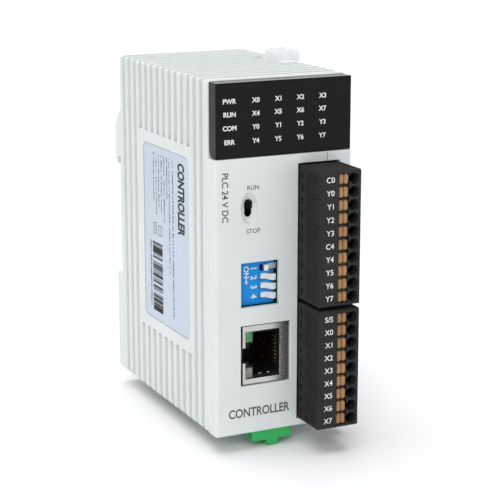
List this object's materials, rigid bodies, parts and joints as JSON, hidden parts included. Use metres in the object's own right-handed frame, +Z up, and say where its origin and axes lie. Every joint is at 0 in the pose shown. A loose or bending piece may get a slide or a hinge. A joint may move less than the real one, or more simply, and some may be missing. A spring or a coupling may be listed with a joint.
{
  "type": "programmable controller module",
  "caption": "Slim rail-mounted programmable controller with indicator window, mode switch, DIP switch, network socket, pluggable spring terminals and power plug.",
  "frame": {"origin": "centre of the rear face that seats on the rail, level with the middle of the rail", "axes": "+X to the right of someone facing the front, +Y back into the mounting wall, +Z up; the front face looks along -Y"},
  "size_m": [0.04, 0.0825, 0.1032],
  "materials": {
    "case_plastic": "satin moulded, fine texture",
    "clip_plastic": "satin moulded",
    "window_plastic": "polished dark tint",
    "clear_plastic": "clear moulded",
    "led_resin": "clear resin",
    "board_laminate": "solder mask",
    "bright_steel": "bright rolled",
    "chip_resin": "moulded resin",
    "ferrite": "ferrite and tape",
    "capacitor_can": "drawn can",
    "black_plastic": "moulded black",
    "terminal_plastic": "fine spark texture, charcoal",
    "gold_plate": "gold plated",
    "tinned_brass": "tin plated",
    "dip_blue": "moulded blue",
    "lever_white": "moulded white",
    "amber_plastic": "moulded amber",
    "plug_green": "moulded green",
    "label_film": "printed film"
  },
  "bodies": {
    "case": {"main_housing": "case_plastic", "front_cover": "case_plastic", "indicator_window": "window_plastic", "light_guide": "clear_plastic", "rj45_lights": "clear_plastic", "indicator_leds": "led_resin", "front_board": "board_laminate", "main_board": "board_laminate", "io_board": "board_laminate", "rj45_shield": "bright_steel", "board_screws": "bright_steel", "processor": "chip_resin", "optocouplers": "chip_resin", "power_transformer": "ferrite", "power_capacitors": "capacitor_can", "rj45_insert": "black_plastic", "mode_switch_body": "black_plastic", "expansion_socket": "black_plastic", "terminal_header_upper": "black_plastic", "terminal_header_lower": "black_plastic", "rj45_contacts": "gold_plate", "terminal_pins_upper": "tinned_brass", "terminal_pins_lower": "tinned_brass", "power_header_pins": "tinned_brass", "dip_body": "dip_blue", "power_header": "plug_green", "rating_label": "label_film"},
    "mode_knob": {"mode_switch_knob": "black_plastic"},
    "terminal_upper": {"terminal_block_upper": "terminal_plastic", "clamp_springs_upper": "bright_steel"},
    "terminal_lower": {"terminal_block_lower": "terminal_plastic", "clamp_springs_lower": "bright_steel"},
    "plug": {"power_plug": "plug_green", "power_plug_screws": "bright_steel"},
    "clip": {"din_clip": "clip_plastic"},
    "latch_top": {"top_latch": "case_plastic"},
    "latch_bottom": {"bottom_latch": "case_plastic"},
    "rocker_1": {"dip_lever_1": "lever_white"},
    "rocker_2": {"dip_lever_2": "lever_white"},
    "rocker_3": {"dip_lever_3": "lever_white"},
    "rocker_4": {"dip_lever_4": "lever_white"},
    "button_01": {"release_button_01": "amber_plastic"},
    "button_02": {"release_button_02": "amber_plastic"},
    "button_03": {"release_button_03": "amber_plastic"},
    "button_04": {"release_button_04": "amber_plastic"},
    "button_05": {"release_button_05": "amber_plastic"},
    "button_06": {"release_button_06": "amber_plastic"},
    "button_07": {"release_button_07": "amber_plastic"},
    "button_08": {"release_button_08": "amber_plastic"},
    "button_09": {"release_button_09": "amber_plastic"},
    "button_10": {"release_button_10": "amber_plastic"},
    "button_11": {"release_button_11": "amber_plastic"},
    "button_12": {"release_button_12": "amber_plastic"},
    "button_13": {"release_button_13": "amber_plastic"},
    "button_14": {"release_button_14": "amber_plastic"},
    "button_15": {"release_button_15": "amber_plastic"},
    "button_16": {"release_button_16": "amber_plastic"},
    "button_17": {"release_button_17": "amber_plastic"},
    "button_18": {"release_button_18": "amber_plastic"},
    "button_19": {"release_button_19": "amber_plastic"}
  },
  "joints": [
    {"name": "mode_slide", "type": "slide", "parent": "case", "child": "mode_knob", "axis": [0, 0, 1], "range_m": [-0.0022, 0]},
    {"name": "rocker_1_tilt", "type": "hinge", "parent": "case", "child": "rocker_1", "pos_m": [-0.00375, -0.06345, -0.00269], "axis": [0, 0, 1], "range_deg": [-70, 0]},
    {"name": "rocker_2_tilt", "type": "hinge", "parent": "case", "child": "rocker_2", "pos_m": [-0.00375, -0.06345, -0.00523], "axis": [0, 0, 1], "range_deg": [0, 70]},
    {"name": "rocker_3_tilt", "type": "hinge", "parent": "case", "child": "rocker_3", "pos_m": [-0.00375, -0.06345, -0.00777], "axis": [0, 0, 1], "range_deg": [0, 70]},
    {"name": "rocker_4_tilt", "type": "hinge", "parent": "case", "child": "rocker_4", "pos_m": [-0.00375, -0.06345, -0.01031], "axis": [0, 0, 1], "range_deg": [0, 70]},
    {"name": "terminal_upper_pull", "type": "slide", "parent": "case", "child": "terminal_upper", "axis": [0, -1, 0], "range_m": [0, 0.012]},
    {"name": "terminal_lower_pull", "type": "slide", "parent": "case", "child": "terminal_lower", "axis": [0, -1, 0], "range_m": [0, 0.012]},
    {"name": "plug_pull", "type": "slide", "parent": "case", "child": "plug", "axis": [0, 0, -1], "range_m": [0, 0.012]},
    {"name": "clip_release", "type": "slide", "parent": "case", "child": "clip", "axis": [0, 0, -1], "range_m": [0, 0.003], "stiffness_N_per_m": 1500, "springref_m": -0.002},
    {"name": "latch_top_slide", "type": "slide", "parent": "case", "child": "latch_top", "axis": [0, 1, 0], "range_m": [0, 0.0035]},
    {"name": "latch_bottom_slide", "type": "slide", "parent": "case", "child": "latch_bottom", "axis": [0, 1, 0], "range_m": [0, 0.0035]},
    {"name": "button_01_press", "type": "slide", "parent": "terminal_upper", "child": "button_01", "axis": [0, 1, 0], "range_m": [0, 0.0015], "stiffness_N_per_m": 1500, "springref_m": -0.001},
    {"name": "button_02_press", "type": "slide", "parent": "terminal_upper", "child": "button_02", "axis": [0, 1, 0], "range_m": [0, 0.0015], "stiffness_N_per_m": 1500, "springref_m": -0.001},
    {"name": "button_03_press", "type": "slide", "parent": "terminal_upper", "child": "button_03", "axis": [0, 1, 0], "range_m": [0, 0.0015], "stiffness_N_per_m": 1500, "springref_m": -0.001},
    {"name": "button_04_press", "type": "slide", "parent": "terminal_upper", "child": "button_04", "axis": [0, 1, 0], "range_m": [0, 0.0015], "stiffness_N_per_m": 1500, "springref_m": -0.001},
    {"name": "button_05_press", "type": "slide", "parent": "terminal_upper", "child": "button_05", "axis": [0, 1, 0], "range_m": [0, 0.0015], "stiffness_N_per_m": 1500, "springref_m": -0.001},
    {"name": "button_06_press", "type": "slide", "parent": "terminal_upper", "child": "button_06", "axis": [0, 1, 0], "range_m": [0, 0.0015], "stiffness_N_per_m": 1500, "springref_m": -0.001},
    {"name": "button_07_press", "type": "slide", "parent": "terminal_upper", "child": "button_07", "axis": [0, 1, 0], "range_m": [0, 0.0015], "stiffness_N_per_m": 1500, "springref_m": -0.001},
    {"name": "button_08_press", "type": "slide", "parent": "terminal_upper", "child": "button_08", "axis": [0, 1, 0], "range_m": [0, 0.0015], "stiffness_N_per_m": 1500, "springref_m": -0.001},
    {"name": "button_09_press", "type": "slide", "parent": "terminal_upper", "child": "button_09", "axis": [0, 1, 0], "range_m": [0, 0.0015], "stiffness_N_per_m": 1500, "springref_m": -0.001},
    {"name": "button_10_press", "type": "slide", "parent": "terminal_upper", "child": "button_10", "axis": [0, 1, 0], "range_m": [0, 0.0015], "stiffness_N_per_m": 1500, "springref_m": -0.001},
    {"name": "button_11_press", "type": "slide", "parent": "terminal_lower", "child": "button_11", "axis": [0, 1, 0], "range_m": [0, 0.0015], "stiffness_N_per_m": 1500, "springref_m": -0.001},
    {"name": "button_12_press", "type": "slide", "parent": "terminal_lower", "child": "button_12", "axis": [0, 1, 0], "range_m": [0, 0.0015], "stiffness_N_per_m": 1500, "springref_m": -0.001},
    {"name": "button_13_press", "type": "slide", "parent": "terminal_lower", "child": "button_13", "axis": [0, 1, 0], "range_m": [0, 0.0015], "stiffness_N_per_m": 1500, "springref_m": -0.001},
    {"name": "button_14_press", "type": "slide", "parent": "terminal_lower", "child": "button_14", "axis": [0, 1, 0], "range_m": [0, 0.0015], "stiffness_N_per_m": 1500, "springref_m": -0.001},
    {"name": "button_15_press", "type": "slide", "parent": "terminal_lower", "child": "button_15", "axis": [0, 1, 0], "range_m": [0, 0.0015], "stiffness_N_per_m": 1500, "springref_m": -0.001},
    {"name": "button_16_press", "type": "slide", "parent": "terminal_lower", "child": "button_16", "axis": [0, 1, 0], "range_m": [0, 0.0015], "stiffness_N_per_m": 1500, "springref_m": -0.001},
    {"name": "button_17_press", "type": "slide", "parent": "terminal_lower", "child": "button_17", "axis": [0, 1, 0], "range_m": [0, 0.0015], "stiffness_N_per_m": 1500, "springref_m": -0.001},
    {"name": "button_18_press", "type": "slide", "parent": "terminal_lower", "child": "button_18", "axis": [0, 1, 0], "range_m": [0, 0.0015], "stiffness_N_per_m": 1500, "springref_m": -0.001},
    {"name": "button_19_press", "type": "slide", "parent": "terminal_lower", "child": "button_19", "axis": [0, 1, 0], "range_m": [0, 0.0015], "stiffness_N_per_m": 1500, "springref_m": -0.001}
  ]
}
